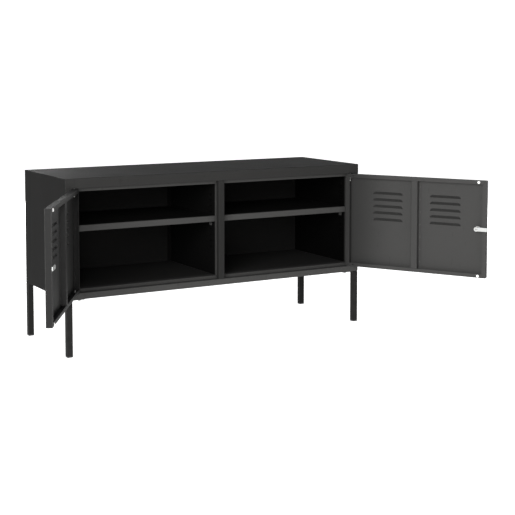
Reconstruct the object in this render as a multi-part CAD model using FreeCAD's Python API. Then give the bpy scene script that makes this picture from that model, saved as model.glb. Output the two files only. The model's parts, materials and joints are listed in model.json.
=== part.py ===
"""Low steel cabinet with two pan doors, built as folded sheet-metal pieces.

Frame: X runs along the width, Y runs from the front to the rear, Z is up.  The origin is on
the floor, under the middle of the case.  Units are millimetres.  Every door is drawn closed
and then swung to the open position that the stored model rests in.
"""
import FreeCAD, Part
import math
import os

from FreeCAD import Vector

# ---- driving dimensions of the case -------------------------------------------------------
CASE_WIDTH = 1030.0
CASE_DEPTH = 352.0
CASE_TOP = 528.0
CASE_UNDERSIDE = 170.0
SHEET = 1.0
INNER_BEND = 1.0
OUTER_BEND = INNER_BEND + SHEET
SEAM_GAP = 0.1

FASCIA_HEIGHT = 30.0
RAIL_HEIGHT = 19.0
SIDE_POST_WIDTH = 20.0
CENTRE_POST_WIDTH = 20.5
CENTRE_POST_DEPTH = 16.0
REBATE_DEPTH = 20.5
REBATE_STEP = 10.0
FLOOR_STEP = 9.0
STOP_RAIL_DROP = 10.5
REAR_FLANGE = 12.0
TOP_FLANGE = 15.0
FOOT_FLANGE = 62.0
BOTTOM_LIP = 40.0

# ---- divider, shelves and their slots ------------------------------------------------------
DIVIDER_THICKNESS = 14.0
DIVIDER_SETBACK = 24.0
LINING_TOP_GAP = 2.5
SLOT_LENGTH = 16.0
SLOT_HEIGHT = 3.0
SLOT_PITCH = 18.4
SLOT_COUNT = 10
LOWEST_SLOT = 284.4
FRONT_SLOT_SETBACK = 60.0
REAR_SLOT_SETBACK = 316.0
SHELF_SLOT = 4
SHELF_TOP = 385.0
SHELF_FOLD = 18.5
SHELF_LIP = 12.0
SHELF_SETBACK = 32.0
SHELF_DEPTH = 303.0
SHELF_SIDE_GAP = 0.6
CLIP_THICKNESS = 1.8
CLIP_REACH = 10.0
CLIP_DROP = 5.0
CLIP_TAB = 4.0
CLIP_HOOK = 1.6

# ---- doors ---------------------------------------------------------------------------------
DOOR_THICKNESS = 18.0
DOOR_OPEN_ANGLE = 120.0
HINGE_GAP = 1.5
FREE_GAP = 1.0
DOOR_Z_GAP = 0.75
DOOR_EDGE_RADIUS = 2.0
DOOR_LIP = 12.0
PIVOT_FROM_EDGE = 7.0
PIVOT_FROM_FACE = 5.0
STIFFENER_WIDTH = 21.0
STIFFENER_FOOT = 8.0
LIP_HOLE_FROM_EDGE = 24.5
LIP_HOLE_RADIUS = 2.2
MITRE_SLIT = 0.4

# ---- louvres -------------------------------------------------------------------------------
LOUVRE_LENGTH = 107.0
LOUVRE_HEIGHT = 11.0
LOUVRE_DEPTH = 6.5
LOUVRE_PITCH = 21.6
LOUVRE_ROWS = 5
LOUVRE_GROUP_OFFSET = 99.5
LOUVRE_TOP_ROW = 443.0
LOUVRE_LAP = 1.2

# ---- hinge pins, bumpers and latch ---------------------------------------------------------
PIN_RADIUS = 2.5
PIN_CLEARANCE = 0.08
PIN_CHAMFER = 0.7
PIN_TAIL = 6.0
PIN_ENTRY = 3.5
STUD_ENTRY = 9.0
STUD_COLLAR = 0.4
SPRING_WIRE_RADIUS = 0.35
SPRING_TURNS = 6
BRACKET_DROP = 18.0
BRACKET_LEG = 12.0
BRACKET_WIDTH = 10.0
BRACKET_REACH = 5.0
BUMPER_RADIUS = 4.5
BUMPER_HEIGHT = 2.2
BUMPER_RIM = 1.2
BUMPER_STEM = 3.0
LATCH_FROM_EDGE = 31.0
LATCH_REACH = 36.0
RING_NUT_HEIGHT = 3.0
BARREL_RADIUS = 6.0
BARREL_BRIM = 3.5
BARREL_FLANGE = 1.2
RING_NUT_WIDTH = 15.0
PLUG_RADIUS = 3.5
PLUG_SUNK = 0.2
COIN_SLOT_WIDTH = 1.4
COIN_SLOT_DEPTH = 1.2
STUD_RADIUS = 2.5
TONGUE_WIDTH = 12.0
TONGUE_THICKNESS = 2.0
TONGUE_GAP = 0.6
TONGUE_HUB_RADIUS = 7.0
TONGUE_CORNER = 2.5
TONGUE_NUT_WIDTH = 8.0
TONGUE_NUT_HEIGHT = 1.6
STUD_TIP = 0.4
NOTCH_MARGIN = 2.0

# ---- legs ----------------------------------------------------------------------------------
LEG_WIDTH = 18.0
LEG_WALL = 1.2
LEG_CORNER_RADIUS = 1.5
FOOT_HEIGHT = 4.0
FOOT_STEM = 12.0
LEG_PLATE = 56.0
LEG_PLATE_THICKNESS = 1.5
LEG_PLATE_CORNER_RADIUS = 3.0
LEG_PLATE_INSET = 2.0
LEG_SCREW_NEAR = 12.0
LEG_SCREW_FAR = 44.0
LEG_SCREW_RADIUS = 2.5
LEG_SCREW_HEAD_RADIUS = 4.6
LEG_SCREW_HEAD_HEIGHT = 2.6
LEG_SCREW_SOCKET = 3.0
LEG_SCREW_LENGTH = 10.0
LEG_NUT_WIDTH = 8.0
LEG_NUT_HEIGHT = 4.0
LEG_NUT_FLANGE_RADIUS = 5.6

# ---- back screws ---------------------------------------------------------------------------
FASTENER_FIT = 0.05
BACK_SCREW_RADIUS = 1.75
BACK_SCREW_LENGTH = 3.2
BACK_SCREW_HEAD_RADIUS = 3.6
BACK_SCREW_HEAD_HEIGHT = 1.8
BACK_SCREW_RIM = 1.0
BACK_SCREW_FROM_SIDE = 60.0
BACK_SCREW_HEIGHTS = (230.0, 348.0, 466.0)
CROSS_REACH = 2.2
CROSS_HALF_WIDTH = 0.4

# ---- worked out from the dimensions above --------------------------------------------------
LEFT = -CASE_WIDTH / 2
RIGHT = CASE_WIDTH / 2
FRONT = -CASE_DEPTH / 2
BACK = CASE_DEPTH / 2
FASCIA_BOTTOM = CASE_TOP - FASCIA_HEIGHT
RAIL_TOP = CASE_UNDERSIDE + RAIL_HEIGHT
FLOOR = RAIL_TOP + FLOOR_STEP
REBATE = FRONT + REBATE_DEPTH
PANEL_BACK = BACK - 2 * SHEET
LINING_TOP = CASE_TOP - LINING_TOP_GAP
LINER_FACE = LEFT + SIDE_POST_WIDTH + REBATE_STEP
DIVIDER_FACE = -DIVIDER_THICKNESS / 2
DIVIDER_FRONT = FRONT + DIVIDER_SETBACK
DOOR_HINGE_EDGE = LEFT + SIDE_POST_WIDTH + HINGE_GAP
DOOR_FREE_EDGE = -CENTRE_POST_WIDTH / 2 - FREE_GAP
DOOR_BOTTOM = RAIL_TOP + DOOR_Z_GAP
DOOR_TOP = FASCIA_BOTTOM - DOOR_Z_GAP
DOOR_CENTRE = (DOOR_HINGE_EDGE + DOOR_FREE_EDGE) / 2
DOOR_MIDDLE = (DOOR_BOTTOM + DOOR_TOP) / 2
DOOR_REAR = FRONT + DOOR_THICKNESS
PIVOT = Vector(DOOR_HINGE_EDGE + PIVOT_FROM_EDGE, FRONT + PIVOT_FROM_FACE, 0)
BRACKET_TOP = DOOR_TOP - BRACKET_DROP
SPRING_TOP = DOOR_TOP - 4 * SHEET
LATCH_X = DOOR_FREE_EDGE - LATCH_FROM_EDGE


# ---- general helpers -----------------------------------------------------------------------
def box(low, high):
    """Box between two opposite corners."""
    size = [high[i] - low[i] for i in range(3)]
    return Part.makeBox(size[0], size[1], size[2], Vector(*low))


def rod(radius, start, end):
    """Solid cylinder between two points."""
    direction = Vector(*end) - Vector(*start)
    return Part.makeCylinder(radius, direction.Length, Vector(*start), direction)


def pivot_rod(radius, z_low, z_high):
    """Solid cylinder on the hinge line of the left door."""
    return rod(radius, (PIVOT.x, PIVOT.y, z_low), (PIVOT.x, PIVOT.y, z_high))


def hexagon_prism(across_flats, start, end):
    """Hexagonal prism along the line between two points that differ in one coordinate."""
    start = Vector(*start)
    direction = Vector(*end) - start
    corner_radius = across_flats / math.sqrt(3)
    corners = []
    for step in range(6):
        angle = math.radians(60 * step)
        corners.append(Vector(corner_radius * math.cos(angle), corner_radius * math.sin(angle), 0))
    face = Part.Face(Part.makePolygon(corners + corners[:1]))
    prism = face.extrude(Vector(0, 0, direction.Length))
    prism.Placement = FreeCAD.Placement(start, FreeCAD.Rotation(Vector(0, 0, 1), direction))
    return prism


def mirrored(shape):
    """The same piece on the other side of the case."""
    return shape.mirror(Vector(0, 0, 0), Vector(1, 0, 0))


def fused(shapes):
    """One solid out of several that touch or overlap."""
    return shapes[0].multiFuse(shapes[1:]).removeSplitter()


def group(shapes):
    """Separate identical solids that share one node."""
    return Part.makeCompound(shapes)


def offset_line(points, distance):
    """Corner points of a folded line moved sideways, to the left of its direction."""
    normals = []
    for start, end in zip(points, points[1:]):
        run_x = end[0] - start[0]
        run_y = end[1] - start[1]
        length = math.hypot(run_x, run_y)
        normals.append((-run_y / length, run_x / length))
    moved = []
    for index, point in enumerate(points):
        before = normals[max(index - 1, 0)]
        after = normals[min(index, len(normals) - 1)]
        scale = distance / (1 + before[0] * after[0] + before[1] * after[1])
        moved.append((point[0] + (before[0] + after[0]) * scale,
                      point[1] + (before[1] + after[1]) * scale))
    return moved


def rounded_edges(points, left_radius, right_radius, place):
    """Edges along a folded line, with an arc at each corner."""
    edges = []
    last = points[0]
    for before, corner, after in zip(points, points[1:], points[2:]):
        inward = (corner[0] - before[0], corner[1] - before[1])
        outward = (after[0] - corner[0], after[1] - corner[1])
        cross = inward[0] * outward[1] - inward[1] * outward[0]
        dot = inward[0] * outward[0] + inward[1] * outward[1]
        turn = abs(math.atan2(cross, dot))
        radius = left_radius if cross > 0 else right_radius
        back = radius * math.tan(turn / 2)
        inward_length = math.hypot(*inward)
        outward_length = math.hypot(*outward)
        arc_start = (corner[0] - inward[0] / inward_length * back,
                     corner[1] - inward[1] / inward_length * back)
        arc_end = (corner[0] + outward[0] / outward_length * back,
                   corner[1] + outward[1] / outward_length * back)
        middle = ((arc_start[0] + arc_end[0]) / 2, (arc_start[1] + arc_end[1]) / 2)
        to_corner = (corner[0] - middle[0], corner[1] - middle[1])
        length = math.hypot(*to_corner)
        bulge = radius * (1 - math.cos(turn / 2))
        arc_middle = (middle[0] + to_corner[0] / length * bulge,
                      middle[1] + to_corner[1] / length * bulge)
        edges.append(Part.LineSegment(place(last), place(arc_start)).toShape())
        edges.append(Part.Arc(place(arc_start), place(arc_middle), place(arc_end)).toShape())
        last = arc_end
    edges.append(Part.LineSegment(place(last), place(points[-1])).toShape())
    return edges


def folded_sheet(points, place, extrusion):
    """Sheet bent along a line: the line is one face, the material lies to its left."""
    near = rounded_edges(points, OUTER_BEND, INNER_BEND, place)
    far_points = offset_line(points, SHEET)
    far = rounded_edges(far_points, INNER_BEND, OUTER_BEND, place)
    ends = [Part.LineSegment(place(points[-1]), place(far_points[-1])).toShape(),
            Part.LineSegment(place(far_points[0]), place(points[0])).toShape()]
    wire = Part.Wire(Part.__sortEdges__(near + far + ends))
    return Part.Face(wire).extrude(extrusion)


def folded_along_x(points, x_low, x_high):
    """Folded sheet whose section is drawn in (y, z) and runs along the width."""
    return folded_sheet(points, lambda p: Vector(x_low, p[0], p[1]), Vector(x_high - x_low, 0, 0))


def folded_along_z(points, z_low, z_high):
    """Folded sheet whose section is drawn in (x, y) and stands upright."""
    return folded_sheet(points, lambda p: Vector(p[0], p[1], z_low), Vector(0, 0, z_high - z_low))


# ---- case ----------------------------------------------------------------------------------
def pivot_hole(z_low, z_high):
    """Clearance holes for both hinge pins of one level."""
    radius = PIN_RADIUS + PIN_CLEARANCE
    hole = pivot_rod(radius, z_low, z_high)
    return [hole, mirrored(hole)]


def outside_the_side_sheets(z_low, z_high):
    """The two slices at the ends of the case that the side sheets take up."""
    slice_left = box((LEFT - SHEET, FRONT + SHEET, z_low), (LEFT + SHEET, BACK + SHEET, z_high))
    return [slice_left, mirrored(slice_left)]


def make_top_panel():
    section = [(BACK, CASE_TOP - REAR_FLANGE), (BACK, CASE_TOP), (FRONT, CASE_TOP),
               (FRONT, FASCIA_BOTTOM), (REBATE, FASCIA_BOTTOM)]
    panel = folded_along_x(section, LEFT, RIGHT)
    cuts = outside_the_side_sheets(FASCIA_BOTTOM - SHEET, CASE_TOP - SHEET)
    cuts += pivot_hole(FASCIA_BOTTOM - SHEET, FASCIA_BOTTOM + 2 * SHEET)
    flange_corner = box((LEFT - SHEET, PANEL_BACK, FASCIA_BOTTOM),
                        (LEFT + REAR_FLANGE + SEAM_GAP, BACK + SHEET, CASE_TOP - SHEET))
    cuts += [flange_corner, mirrored(flange_corner)]
    return panel.cut(cuts + back_screw_holes())


def make_top_stop_rail():
    """Angle behind the fascia that the door bumpers close against."""
    low = FASCIA_BOTTOM - STOP_RAIL_DROP
    top = CASE_TOP - SHEET - SEAM_GAP
    section = [(REBATE + SHELF_LIP, top), (REBATE, top), (REBATE, low)]
    return folded_along_x(section, LINER_FACE, -LINER_FACE)


def make_bottom_panel():
    section = [(BACK - 2 * SHEET - BOTTOM_LIP, CASE_UNDERSIDE), (PANEL_BACK, CASE_UNDERSIDE),
               (PANEL_BACK, FLOOR), (REBATE, FLOOR), (REBATE, RAIL_TOP), (FRONT, RAIL_TOP),
               (FRONT, CASE_UNDERSIDE), (FRONT + BOTTOM_LIP, CASE_UNDERSIDE)]
    panel = folded_along_x(section, LEFT, RIGHT)
    cuts = outside_the_side_sheets(CASE_UNDERSIDE - SHEET, CASE_TOP)
    corner = box((LEFT - SHEET, FRONT + SHEET, CASE_UNDERSIDE - SHEET),
                 (LEFT + FOOT_FLANGE, BACK, CASE_UNDERSIDE + OUTER_BEND + SHEET / 2))
    cuts += [corner, mirrored(corner)]
    cuts += pivot_hole(RAIL_TOP - 2 * SHEET, RAIL_TOP + SHEET)
    return panel.cut(cuts + back_screw_holes())


def make_left_side_panel():
    """Outer sheet with its front post, rear flange and the flanges above and below."""
    rear_flange = [(LEFT + REAR_FLANGE, BACK), (LEFT, BACK)]
    post_edge = REBATE - INNER_BEND - SEAM_GAP
    post = rear_flange + [(LEFT, FRONT), (LEFT + SIDE_POST_WIDTH, FRONT),
                          (LEFT + SIDE_POST_WIDTH, post_edge)]
    plain = rear_flange + [(LEFT, FRONT + SHEET)]
    pieces = [folded_along_z(plain, CASE_UNDERSIDE, RAIL_TOP),
              folded_along_z(post, RAIL_TOP, FASCIA_BOTTOM),
              folded_along_z(plain, FASCIA_BOTTOM, CASE_TOP - SHEET)]
    inner_x = LEFT + SHEET / 2
    pieces.append(box((inner_x, FRONT + SHEET, CASE_UNDERSIDE),
                      (LEFT + FOOT_FLANGE, BACK - 2 * SHEET, CASE_UNDERSIDE + SHEET)))
    pieces.append(box((inner_x, REBATE + SHEET + SHELF_LIP, CASE_TOP - 2 * SHEET),
                      (LEFT + TOP_FLANGE, BACK - 2 * SHEET, CASE_TOP - SHEET)))
    panel = fused(pieces)
    holes = []
    for corner_y in (FRONT, BACK):
        for x, y in leg_screw_places(LEFT, corner_y):
            if LEFT < x < LEFT + FOOT_FLANGE:
                holes.append(rod(2.7, (x, y, CASE_UNDERSIDE - SHEET),
                                 (x, y, CASE_UNDERSIDE + 2 * SHEET)))
    return panel.cut(holes + back_screw_holes())


def slot_cutters(face_x):
    """All shelf-clip slots through an upright sheet whose visible face is at face_x."""
    cutters = []
    for setback in (FRONT_SLOT_SETBACK, REAR_SLOT_SETBACK):
        for step in range(SLOT_COUNT):
            centre_z = LOWEST_SLOT + SLOT_PITCH * step
            centre_y = FRONT + setback
            cutters.append(box((face_x - 2 * SHEET, centre_y - SLOT_LENGTH / 2,
                                centre_z - SLOT_HEIGHT / 2),
                               (face_x + 2 * SHEET, centre_y + SLOT_LENGTH / 2,
                                centre_z + SLOT_HEIGHT / 2)))
    return cutters


def make_left_side_liner():
    """Inner wall of the left bay, with the slots that take the shelf clips."""
    outer_x = LEFT + 1.5 * SHEET
    section = [(outer_x, REBATE), (LINER_FACE, REBATE), (LINER_FACE, PANEL_BACK),
               (outer_x, PANEL_BACK)]
    liner = folded_along_z(section, FLOOR, LINING_TOP)
    return liner.cut(slot_cutters(LINER_FACE) + back_screw_holes())


def make_divider_left_skin():
    """Left wall of the hollow centre divider."""
    flange_y = PANEL_BACK - SHEET
    section = [(DIVIDER_FACE - REAR_FLANGE, flange_y), (DIVIDER_FACE, flange_y),
               (DIVIDER_FACE, DIVIDER_FRONT), (-SEAM_GAP, DIVIDER_FRONT)]
    skin = folded_along_z(section, FLOOR, LINING_TOP)
    return skin.cut(slot_cutters(DIVIDER_FACE))


def make_centre_post():
    half = CENTRE_POST_WIDTH / 2
    section = [(-half, FRONT + CENTRE_POST_DEPTH), (-half, FRONT), (half, FRONT),
               (half, FRONT + CENTRE_POST_DEPTH)]
    return folded_along_z(section, RAIL_TOP, FASCIA_BOTTOM)


def back_screw_places():
    """Screw centres in (x, z), with the height of the face that each head sits on."""
    flange_x = RIGHT - REAR_FLANGE / 2
    top_z = CASE_TOP - REAR_FLANGE / 2
    places = []
    for step in range(-2, 3):
        x = step * (RIGHT - BACK_SCREW_FROM_SIDE) / 2
        places.append((x, top_z, BACK))
        places.append((x, CASE_UNDERSIDE + REAR_FLANGE, BACK - SHEET))
    for x in (-flange_x, flange_x):
        for z in BACK_SCREW_HEIGHTS:
            places.append((x, z, BACK))
    return places


def back_screw_holes():
    """Holes for the shanks of the back screws, through every sheet they pass."""
    return [rod(BACK_SCREW_RADIUS + FASTENER_FIT, (x, BACK - 4 * SHEET, z), (x, BACK + SHEET, z))
            for x, z, _ in back_screw_places()]


def make_back_panel():
    margin = SHEET + INNER_BEND + SEAM_GAP
    panel = box((LEFT + margin, BACK - 2 * SHEET, CASE_UNDERSIDE + margin),
                (RIGHT - margin, BACK - SHEET, CASE_TOP - margin))
    return panel.cut(back_screw_holes())


def make_back_screws():
    """Pan-head screws with a cross recess."""
    screws = []
    for x, z, seat in back_screw_places():
        top = seat + BACK_SCREW_HEAD_HEIGHT
        head = rod(BACK_SCREW_HEAD_RADIUS, (x, seat, z), (x, top, z))
        rim = [edge for edge in head.Edges if edge.BoundBox.YMin > top - 0.01]
        head = head.makeFillet(BACK_SCREW_RIM, rim)
        cross = [box((x - across, seat + 0.9, z - up), (x + across, top + 1, z + up))
                 for across, up in ((CROSS_REACH, CROSS_HALF_WIDTH), (CROSS_HALF_WIDTH, CROSS_REACH))]
        shank = rod(BACK_SCREW_RADIUS, (x, seat - BACK_SCREW_LENGTH, z), (x, seat, z))
        screws.append(head.fuse(shank).cut(cross))
    return group(screws)


# ---- shelves -------------------------------------------------------------------------------
def make_left_shelf():
    x_low = LINER_FACE + SHELF_SIDE_GAP
    x_high = DIVIDER_FACE - SHELF_SIDE_GAP
    y_low = FRONT + SHELF_SETBACK
    y_high = y_low + SHELF_DEPTH
    bottom = SHELF_TOP - SHELF_FOLD
    section = [(y_high - SHELF_LIP, bottom), (y_high, bottom), (y_high, SHELF_TOP),
               (y_low, SHELF_TOP), (y_low, bottom), (y_low + SHELF_LIP, bottom)]
    pieces = [folded_along_x(section, x_low, x_high)]
    inset = 1.5 * SHEET
    for wall_x in (x_low, x_high - SHEET):
        pieces.append(box((wall_x, y_low + inset, bottom + SHEET / 2),
                          (wall_x + SHEET, y_high - inset, SHELF_TOP - SHEET / 2)))
    return fused(pieces)


def shelf_clip(wall_x, inward, setback):
    """Clip with a tab through a slot and a ledge under the shelf; inward is +1 or -1."""
    y = FRONT + setback
    half = SLOT_LENGTH / 2 - 1
    slot_z = LOWEST_SLOT + SLOT_PITCH * SHELF_SLOT
    ledge_top = SHELF_TOP - SHELF_FOLD + SHEET / 2

    def block(near, far, z_low, z_high):
        xs = sorted((wall_x + inward * near, wall_x + inward * far))
        return box((xs[0], y - half, z_low), (xs[1], y + half, z_high))

    foot = slot_z - CLIP_DROP
    plate = block(SEAM_GAP, SEAM_GAP + CLIP_THICKNESS, foot, ledge_top)
    ledge = block(SEAM_GAP, CLIP_REACH, ledge_top - CLIP_THICKNESS, ledge_top)
    tab = block(-CLIP_TAB, SHEET / 2, slot_z - 1, slot_z + 1)
    hook = block(-CLIP_TAB, CLIP_HOOK - CLIP_TAB, foot, slot_z + 1)
    return fused([plate, ledge, tab, hook])


def make_left_shelf_clips():
    clips = []
    for setback in (FRONT_SLOT_SETBACK, REAR_SLOT_SETBACK):
        clips.append(shelf_clip(LINER_FACE, 1, setback))
        clips.append(shelf_clip(DIVIDER_FACE, -1, setback))
    return group(clips)


# ---- legs ----------------------------------------------------------------------------------
def leg_screw_places(corner_x, corner_y):
    """Three screw centres in (x, y) round the tube of the leg at one corner."""
    to_x = 1 if corner_x < 0 else -1
    to_y = 1 if corner_y < 0 else -1
    offsets = ((LEG_SCREW_FAR, LEG_SCREW_NEAR), (LEG_SCREW_NEAR, LEG_SCREW_FAR),
               (LEG_SCREW_FAR, LEG_SCREW_FAR))
    return [(corner_x + to_x * dx, corner_y + to_y * dy) for dx, dy in offsets]


def corner_box(corner_x, corner_y, start, width, z_low, z_high):
    """Square block on the diagonal of one corner of the case, start away from both its faces."""
    to_x = 1 if corner_x < 0 else -1
    to_y = 1 if corner_y < 0 else -1
    xs = sorted((corner_x + to_x * start, corner_x + to_x * (start + width)))
    ys = sorted((corner_y + to_y * start, corner_y + to_y * (start + width)))
    return box((xs[0], ys[0], z_low), (xs[1], ys[1], z_high))


def upright_edges(shape):
    return [edge for edge in shape.Edges if abs(edge.tangentAt(edge.FirstParameter).z) > 0.5]


def make_leg(corner_x, corner_y):
    """Square tube, flush with one corner of the case, up to the underside of its plate."""
    top = CASE_UNDERSIDE - LEG_PLATE_THICKNESS
    tube = corner_box(corner_x, corner_y, 0, LEG_WIDTH, FOOT_HEIGHT, top)
    tube = tube.makeFillet(LEG_CORNER_RADIUS, upright_edges(tube))
    inside = LEG_WIDTH - 2 * LEG_WALL
    return tube.cut(corner_box(corner_x, corner_y, LEG_WALL, inside, FOOT_HEIGHT - 1, top + 1))


def make_leg_plate(corner_x, corner_y):
    """Square fixing plate on top of one leg, screwed up into the case."""
    plate = corner_box(corner_x, corner_y, LEG_PLATE_INSET, LEG_PLATE,
                       CASE_UNDERSIDE - LEG_PLATE_THICKNESS, CASE_UNDERSIDE)
    plate = plate.makeFillet(LEG_PLATE_CORNER_RADIUS, upright_edges(plate))
    holes = [rod(LEG_SCREW_RADIUS + 0.2, (x, y, CASE_UNDERSIDE - 5), (x, y, CASE_UNDERSIDE + 5))
             for x, y in leg_screw_places(corner_x, corner_y)]
    return plate.cut(holes)


def make_foot_cap(corner_x, corner_y):
    """Plastic plug in the open end of a leg tube."""
    sole = corner_box(corner_x, corner_y, 0, LEG_WIDTH, 0, FOOT_HEIGHT)
    sole = sole.makeFillet(LEG_CORNER_RADIUS, upright_edges(sole))
    lower = [edge for edge in sole.Edges if edge.BoundBox.ZMax < 0.01]
    sole = sole.makeChamfer(0.8, lower)
    margin = LEG_WALL + 0.2
    stem = corner_box(corner_x, corner_y, margin, LEG_WIDTH - 2 * margin,
                      FOOT_HEIGHT - 1, FOOT_HEIGHT + FOOT_STEM)
    return fused([sole, stem])


def make_leg_screws(corners):
    screws = []
    under = CASE_UNDERSIDE - LEG_PLATE_THICKNESS
    for corner_x, corner_y in corners:
        for x, y in leg_screw_places(corner_x, corner_y):
            head = rod(LEG_SCREW_HEAD_RADIUS, (x, y, under - LEG_SCREW_HEAD_HEIGHT), (x, y, under))
            socket = hexagon_prism(LEG_SCREW_SOCKET, (x, y, under - LEG_SCREW_HEAD_HEIGHT - 1),
                                   (x, y, under - 1))
            shank = rod(LEG_SCREW_RADIUS, (x, y, under - 0.5), (x, y, under + LEG_SCREW_LENGTH))
            screws.append(head.fuse(shank).cut(socket))
    return group(screws)


def make_leg_nuts(corners):
    nuts = []
    seat = CASE_UNDERSIDE + SHEET
    for corner_x, corner_y in corners:
        for x, y in leg_screw_places(corner_x, corner_y):
            nut = hexagon_prism(LEG_NUT_WIDTH, (x, y, seat), (x, y, seat + LEG_NUT_HEIGHT))
            flange = rod(LEG_NUT_FLANGE_RADIUS, (x, y, seat), (x, y, seat + 1))
            bore = rod(LEG_SCREW_RADIUS + FASTENER_FIT, (x, y, seat - 1),
                       (x, y, seat + LEG_NUT_HEIGHT + 1))
            nuts.append(nut.fuse(flange).cut(bore))
    return group(nuts)


# ---- door pan ------------------------------------------------------------------------------
def louvre_solid(length, height, depth):
    """Hood with quarter-round ends, over a straight lower edge at z = 0, y = 0 on the skin."""
    def section(x):
        rise = Part.Arc(Vector(x, 0, height), Vector(x, -0.80 * depth, 0.62 * height),
                        Vector(x, -depth, 0)).toShape()
        lip = Part.LineSegment(Vector(x, -depth, 0), Vector(x, 0, 0)).toShape()
        base = Part.LineSegment(Vector(x, 0, 0), Vector(x, 0, height)).toShape()
        return Part.Face(Part.Wire([rise, lip, base]))

    half = length / 2 - height
    middle = section(-half).extrude(Vector(2 * half, 0, 0))
    right = section(half).revolve(Vector(half, 0, 0), Vector(0, 1, 0), 90)
    left = section(-half).revolve(Vector(-half, 0, 0), Vector(0, 1, 0), -90)
    return fused([middle, right, left])


def louvre_places():
    places = []
    for group_x in (DOOR_CENTRE - LOUVRE_GROUP_OFFSET, DOOR_CENTRE + LOUVRE_GROUP_OFFSET):
        for row in range(LOUVRE_ROWS):
            top = LOUVRE_TOP_ROW - row * LOUVRE_PITCH
            places.append(Vector(group_x, FRONT, top - LOUVRE_HEIGHT))
    return places


def moved(shape, offset):
    copy = shape.copy()
    copy.translate(offset)
    return copy


def add_louvres(pan):
    """Press the hoods out of the skin; the skin stays a little above the lower edge of each."""
    outer = louvre_solid(LOUVRE_LENGTH, LOUVRE_HEIGHT, LOUVRE_DEPTH)
    inner = louvre_solid(LOUVRE_LENGTH - 2 * SHEET, LOUVRE_HEIGHT - SHEET, LOUVRE_DEPTH - SHEET)
    above_lap = inner.common(box((-LOUVRE_LENGTH, -SHEET / 2, LOUVRE_LAP),
                                 (LOUVRE_LENGTH, SHEET, 2 * LOUVRE_HEIGHT)))
    mouth_face = max(above_lap.Faces, key=lambda face: face.CenterOfMass.y)
    opening = mouth_face.extrude(Vector(0, 2 * SHEET, 0))
    places = louvre_places()
    pan = pan.multiFuse([moved(outer, place) for place in places])
    pan = pan.cut([moved(inner, place) for place in places])
    return pan.cut([moved(opening, place) for place in places])


def lip_hole_places():
    inset = DOOR_LIP / 2
    return [(x, z) for x in (DOOR_FREE_EDGE - LIP_HOLE_FROM_EDGE,
                             DOOR_HINGE_EDGE + LIP_HOLE_FROM_EDGE)
            for z in (DOOR_TOP - inset, DOOR_BOTTOM + inset)]


def mitre_slits():
    """Thin diagonal gaps where the return lips meet at the four corners."""
    slits = []
    length = 1.6 * DOOR_LIP
    for x, z, angle in ((DOOR_HINGE_EDGE, DOOR_TOP, -45), (DOOR_FREE_EDGE, DOOR_TOP, -135),
                        (DOOR_FREE_EDGE, DOOR_BOTTOM, 135), (DOOR_HINGE_EDGE, DOOR_BOTTOM, 45)):
        slit = box((3, DOOR_REAR - 1.5 * SHEET, -MITRE_SLIT / 2),
                   (length, DOOR_REAR + SHEET, MITRE_SLIT / 2))
        slit.rotate(Vector(0, 0, 0), Vector(0, 1, 0), -angle)
        slit.translate(Vector(x, 0, z))
        slits.append(slit)
    return slits


def make_left_door_panel():
    """Shallow pan: skin, four walls and notched return lips, with pressed louvres."""
    pan = box((DOOR_HINGE_EDGE, FRONT, DOOR_BOTTOM), (DOOR_FREE_EDGE, DOOR_REAR, DOOR_TOP))
    pan = pan.makeFillet(DOOR_EDGE_RADIUS, pan.Edges)
    hollow = box((DOOR_HINGE_EDGE + SHEET, FRONT + SHEET, DOOR_BOTTOM + SHEET),
                 (DOOR_FREE_EDGE - SHEET, DOOR_REAR - SHEET, DOOR_TOP - SHEET))
    hollow = hollow.makeFillet(INNER_BEND, hollow.Edges)
    mouth = box((DOOR_HINGE_EDGE + DOOR_LIP, DOOR_REAR - 2 * SHEET, DOOR_BOTTOM + DOOR_LIP),
                (DOOR_FREE_EDGE - DOOR_LIP, DOOR_REAR + SHEET, DOOR_TOP - DOOR_LIP))
    pan = add_louvres(pan.cut([hollow, mouth]))
    radius = PIN_RADIUS + PIN_CLEARANCE
    cuts = mitre_slits()
    cuts.append(pivot_rod(radius, DOOR_BOTTOM - 1, DOOR_BOTTOM + 3))
    cuts.append(pivot_rod(radius, DOOR_TOP - 3, DOOR_TOP + 1))
    cuts.append(rod(BARREL_RADIUS + 0.1, (LATCH_X, FRONT - 1, DOOR_MIDDLE),
                    (LATCH_X, FRONT + 2, DOOR_MIDDLE)))
    for x, z in lip_hole_places():
        cuts.append(rod(LIP_HOLE_RADIUS, (x, DOOR_REAR - 2, z), (x, DOOR_REAR + 1, z)))
    notch = TONGUE_WIDTH / 2 + NOTCH_MARGIN
    cuts.append(box((DOOR_FREE_EDGE - DOOR_LIP - 1, DOOR_REAR - 1.5 * SHEET, DOOR_MIDDLE - notch),
                    (DOOR_FREE_EDGE - OUTER_BEND - 0.5, DOOR_REAR + 1, DOOR_MIDDLE + notch)))
    return pan.cut(cuts)


def make_left_door_stiffener():
    """Hat section up the middle of the door, its crown level with the return lips."""
    half = STIFFENER_WIDTH / 2 - SHEET
    skin = FRONT + SHEET
    section = [(DOOR_CENTRE - half - STIFFENER_FOOT, skin), (DOOR_CENTRE - half, skin),
               (DOOR_CENTRE - half, DOOR_REAR - SHEET), (DOOR_CENTRE + half, DOOR_REAR - SHEET),
               (DOOR_CENTRE + half, skin), (DOOR_CENTRE + half + STIFFENER_FOOT, skin)]
    return folded_along_z(section, DOOR_BOTTOM + DOOR_LIP + 0.5, DOOR_TOP - DOOR_LIP - 0.5)


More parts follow.
